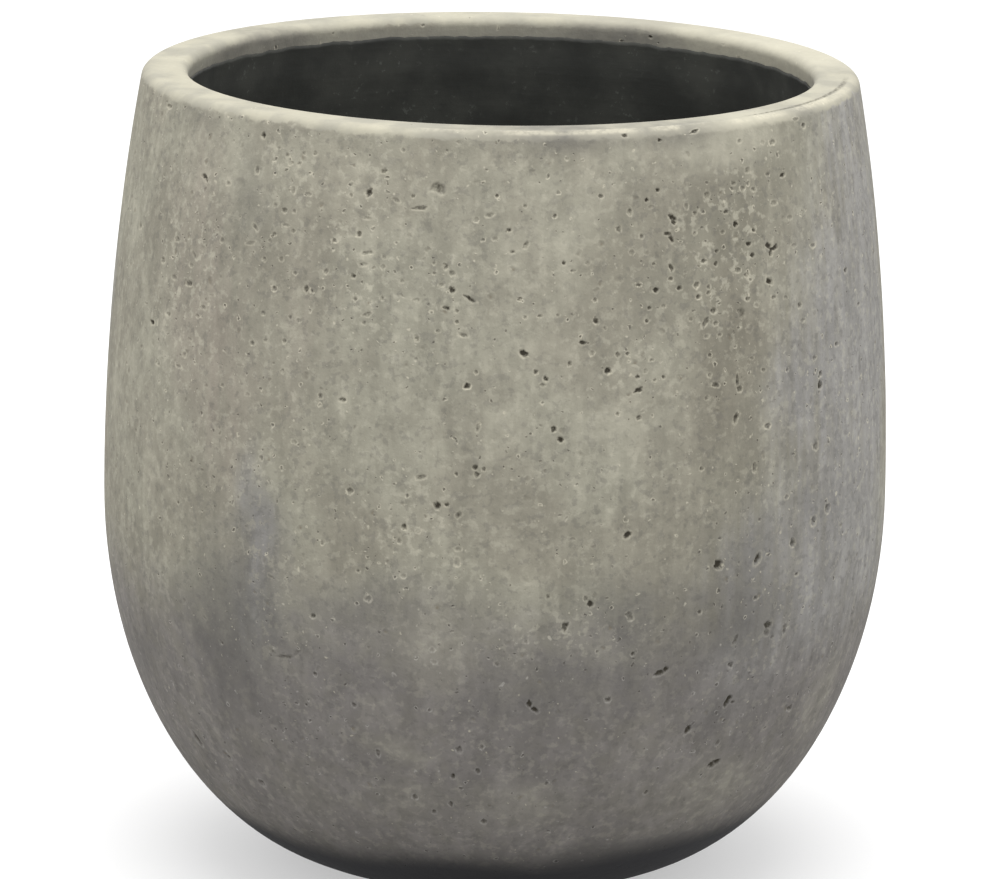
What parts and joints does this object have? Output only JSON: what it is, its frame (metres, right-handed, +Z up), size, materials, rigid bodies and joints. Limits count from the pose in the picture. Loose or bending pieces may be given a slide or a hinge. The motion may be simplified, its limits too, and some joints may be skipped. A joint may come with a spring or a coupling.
{
  "type": "cast stone pot",
  "caption": "Round cast stone floor pot with a drawn-in soft rim, a dark waterproof coat inside, a lift-out drain plug and rubber pads under its foot.",
  "frame": {"origin": "on the floor under the middle of the pot, level with the undersides of its pads", "axes": "+Z up along the pot's axis, +Y away from the picture's viewer, +X to that viewer's right"},
  "size_m": [0.3399, 0.34, 0.35],
  "materials": {
    "cast_stone": "matte, pitted, unevenly weathered",
    "seal_coat": "brushed on, low sheen",
    "plug_rubber": "moulded, matte",
    "pad_rubber": "cut from sheet, matte"
  },
  "bodies": {
    "pot": {"pot_body": "cast_stone", "inner_seal_coat": "seal_coat", "floor_pad_1": "pad_rubber", "floor_pad_2": "pad_rubber", "floor_pad_3": "pad_rubber", "floor_pad_4": "pad_rubber"},
    "plug": {"drain_plug": "plug_rubber"}
  },
  "joints": [
    {"name": "plug_lift", "type": "slide", "parent": "pot", "child": "plug", "axis": [0, 0, 1], "range_m": [0, 0.36]}
  ]
}
